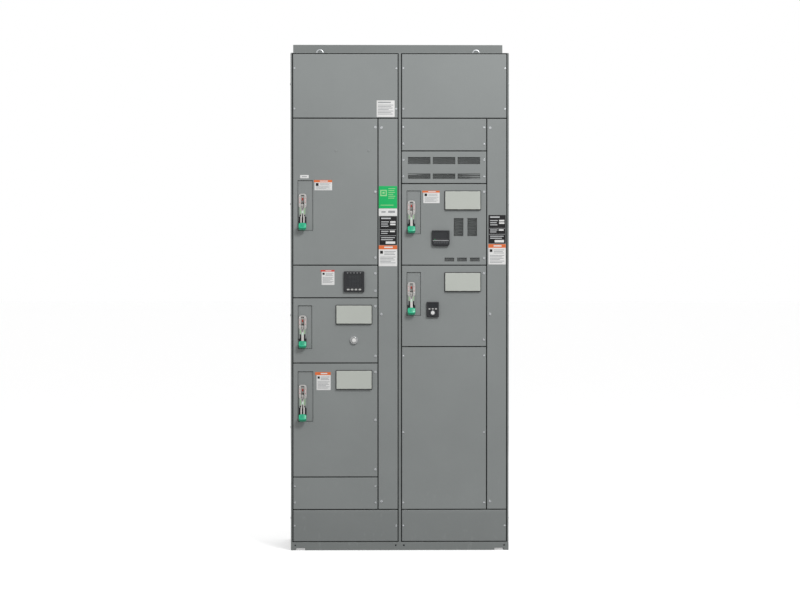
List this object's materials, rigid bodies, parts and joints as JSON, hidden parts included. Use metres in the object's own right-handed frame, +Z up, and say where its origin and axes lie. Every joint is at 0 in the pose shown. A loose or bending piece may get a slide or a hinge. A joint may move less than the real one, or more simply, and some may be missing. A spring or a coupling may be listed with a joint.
{
  "type": "motor control center",
  "caption": "Floor-standing grey steel switch cabinet of two joined sections, with hinged unit doors, rotary-lever disconnects, a power meter and lifting eyes.",
  "frame": {"origin": "on the floor, at the centre of the cabinet's footprint, which is also the centre of its floor anchor holes", "axes": "+Z up, the doors face -Y, +X to the right of someone facing the doors"},
  "size_m": [1.0242, 0.558, 2.4003],
  "materials": {
    "frame_paint": "satin",
    "panel_paint": "satin",
    "plate_paint": "satin",
    "white_paint": "gloss",
    "zinc_steel": "satin",
    "bright_metal": "polished",
    "copper": "satin",
    "red_insulator": "matt",
    "black_plastic": "matt",
    "grey_plastic": "matt",
    "beige_plastic": "matt",
    "handle_green": "satin"
  },
  "bodies": {
    "cabinet": {"section_frames": "frame_paint", "base_channels": "frame_paint", "lifting_angle": "frame_paint", "lifting_eyes": "zinc_steel", "roof_plates": "panel_paint", "side_and_rear_panels": "panel_paint", "wireway_covers": "panel_paint", "blank_covers": "panel_paint", "vent_cover": "panel_paint", "cover_screws": "zinc_steel", "hinge_pins": "zinc_steel", "bus_bars": "copper", "bus_supports": "red_insulator", "unit_pans": "white_paint", "operator_housings": "panel_paint", "circuit_breakers": "black_plastic", "contactors": "black_plastic", "drive_module": "black_plastic", "soft_starter_module": "black_plastic", "control_components": "beige_plastic"},
    "main_door": {"main_door": "panel_paint", "main_door_latches": "zinc_steel"},
    "meter_door": {"meter_door": "panel_paint", "meter_door_latches": "zinc_steel", "power_meter": "black_plastic"},
    "starter_door": {"starter_door": "panel_paint", "starter_door_latches": "zinc_steel", "starter_control_plate": "plate_paint", "reset_bezel": "bright_metal"},
    "large_starter_door": {"large_starter_door": "panel_paint", "large_starter_door_latches": "zinc_steel", "large_starter_control_plate": "plate_paint"},
    "drive_door": {"drive_door": "panel_paint", "drive_door_latches": "zinc_steel", "drive_control_plate": "plate_paint", "drive_keypad": "black_plastic"},
    "soft_starter_door": {"soft_starter_door": "panel_paint", "soft_starter_door_latches": "zinc_steel", "soft_starter_control_plate": "plate_paint", "soft_starter_keypad": "black_plastic"},
    "left_wireway_door": {"left_wireway_door": "panel_paint", "left_wireway_latches": "zinc_steel"},
    "right_wireway_door": {"right_wireway_door": "panel_paint", "right_wireway_latches": "zinc_steel"},
    "main_handle": {"main_handle": "handle_green"},
    "main_toggle": {"main_toggle": "black_plastic"},
    "starter_handle": {"starter_handle": "handle_green"},
    "starter_toggle": {"starter_toggle": "black_plastic"},
    "large_starter_handle": {"large_starter_handle": "handle_green"},
    "large_starter_toggle": {"large_starter_toggle": "black_plastic"},
    "drive_handle": {"drive_handle": "handle_green"},
    "drive_toggle": {"drive_toggle": "black_plastic"},
    "soft_starter_handle": {"soft_starter_handle": "handle_green"},
    "soft_starter_toggle": {"soft_starter_toggle": "black_plastic"},
    "meter_key_1": {"meter_key_1": "grey_plastic"},
    "meter_key_2": {"meter_key_2": "grey_plastic"},
    "meter_key_3": {"meter_key_3": "grey_plastic"},
    "meter_key_4": {"meter_key_4": "grey_plastic"},
    "reset_button": {"reset_button": "grey_plastic"},
    "keypad_dial": {"keypad_dial": "grey_plastic"}
  },
  "joints": [
    {"name": "main_door_hinge", "type": "hinge", "parent": "cabinet", "child": "main_door", "pos_m": [-0.4915, -0.2465, 1.6764], "axis": [0, 0, -1], "range_deg": [0, 110]},
    {"name": "meter_door_hinge", "type": "hinge", "parent": "cabinet", "child": "meter_door", "pos_m": [-0.4915, -0.2465, 1.2573], "axis": [0, 0, -1], "range_deg": [0, 110]},
    {"name": "starter_door_hinge", "type": "hinge", "parent": "cabinet", "child": "starter_door", "pos_m": [-0.4915, -0.2465, 1.0287], "axis": [0, 0, -1], "range_deg": [0, 110]},
    {"name": "large_starter_door_hinge", "type": "hinge", "parent": "cabinet", "child": "large_starter_door", "pos_m": [-0.4915, -0.2465, 0.6096], "axis": [0, 0, -1], "range_deg": [0, 110]},
    {"name": "drive_door_hinge", "type": "hinge", "parent": "cabinet", "child": "drive_door", "pos_m": [0.0165, -0.2465, 1.524], "axis": [0, 0, -1], "range_deg": [0, 90]},
    {"name": "soft_starter_door_hinge", "type": "hinge", "parent": "cabinet", "child": "soft_starter_door", "pos_m": [0.0165, -0.2465, 1.143], "axis": [0, 0, -1], "range_deg": [0, 90]},
    {"name": "left_wireway_door_hinge", "type": "hinge", "parent": "cabinet", "child": "left_wireway_door", "pos_m": [-0.0165, -0.2465, 1.1049], "axis": [0, 0, 1], "range_deg": [0, 90]},
    {"name": "right_wireway_door_hinge", "type": "hinge", "parent": "cabinet", "child": "right_wireway_door", "pos_m": [0.4915, -0.2465, 1.1049], "axis": [0, 0, 1], "range_deg": [0, 90]},
    {"name": "main_handle_turn", "type": "hinge", "parent": "cabinet", "child": "main_handle", "pos_m": [-0.454, -0.24, 1.6123], "axis": [-1, 0, 0], "range_deg": [0, 130]},
    {"name": "main_toggle_turn", "type": "hinge", "parent": "cabinet", "child": "main_toggle", "pos_m": [-0.386, -0.094, 1.6123], "axis": [-1, 0, 0], "range_deg": [0, 36]},
    {"name": "starter_handle_turn", "type": "hinge", "parent": "cabinet", "child": "starter_handle", "pos_m": [-0.454, -0.24, 1.0441], "axis": [-1, 0, 0], "range_deg": [0, 130]},
    {"name": "starter_toggle_turn", "type": "hinge", "parent": "cabinet", "child": "starter_toggle", "pos_m": [-0.402, -0.07, 1.0441], "axis": [-1, 0, 0], "range_deg": [0, 36]},
    {"name": "large_starter_handle_turn", "type": "hinge", "parent": "cabinet", "child": "large_starter_handle", "pos_m": [-0.454, -0.24, 0.7203], "axis": [-1, 0, 0], "range_deg": [0, 130]},
    {"name": "large_starter_toggle_turn", "type": "hinge", "parent": "cabinet", "child": "large_starter_toggle", "pos_m": [-0.386, -0.087, 0.7203], "axis": [-1, 0, 0], "range_deg": [0, 36]},
    {"name": "drive_handle_turn", "type": "hinge", "parent": "cabinet", "child": "drive_handle", "pos_m": [0.054, -0.24, 1.5805], "axis": [-1, 0, 0], "range_deg": [0, 130]},
    {"name": "drive_toggle_turn", "type": "hinge", "parent": "cabinet", "child": "drive_toggle", "pos_m": [0.106, -0.07, 1.5805], "axis": [-1, 0, 0], "range_deg": [0, 36]},
    {"name": "soft_starter_handle_turn", "type": "hinge", "parent": "cabinet", "child": "soft_starter_handle", "pos_m": [0.054, -0.24, 1.1995], "axis": [-1, 0, 0], "range_deg": [0, 130]},
    {"name": "soft_starter_toggle_turn", "type": "hinge", "parent": "cabinet", "child": "soft_starter_toggle", "pos_m": [0.106, -0.07, 1.1995], "axis": [-1, 0, 0], "range_deg": [0, 36]},
    {"name": "meter_key_1_press", "type": "slide", "parent": "meter_door", "child": "meter_key_1", "axis": [0, 1, 0], "range_m": [0, 0.001]},
    {"name": "meter_key_2_press", "type": "slide", "parent": "meter_door", "child": "meter_key_2", "axis": [0, 1, 0], "range_m": [0, 0.001]},
    {"name": "meter_key_3_press", "type": "slide", "parent": "meter_door", "child": "meter_key_3", "axis": [0, 1, 0], "range_m": [0, 0.001]},
    {"name": "meter_key_4_press", "type": "slide", "parent": "meter_door", "child": "meter_key_4", "axis": [0, 1, 0], "range_m": [0, 0.001]},
    {"name": "reset_button_press", "type": "slide", "parent": "starter_door", "child": "reset_button", "axis": [0, 1, 0], "range_m": [0, 0.004]},
    {"name": "keypad_dial_turn", "type": "hinge", "parent": "soft_starter_door", "child": "keypad_dial", "pos_m": [0.1535, -0.254, 1.1115], "axis": [0, 1, 0], "continuous": true}
  ],
  "couplings": [
    {"joint": "main_toggle_turn", "follows": "main_handle_turn", "ratio": 0.2769},
    {"joint": "starter_toggle_turn", "follows": "starter_handle_turn", "ratio": 0.2769},
    {"joint": "large_starter_toggle_turn", "follows": "large_starter_handle_turn", "ratio": 0.2769},
    {"joint": "drive_toggle_turn", "follows": "drive_handle_turn", "ratio": 0.2769},
    {"joint": "soft_starter_toggle_turn", "follows": "soft_starter_handle_turn", "ratio": 0.2769}
  ]
}
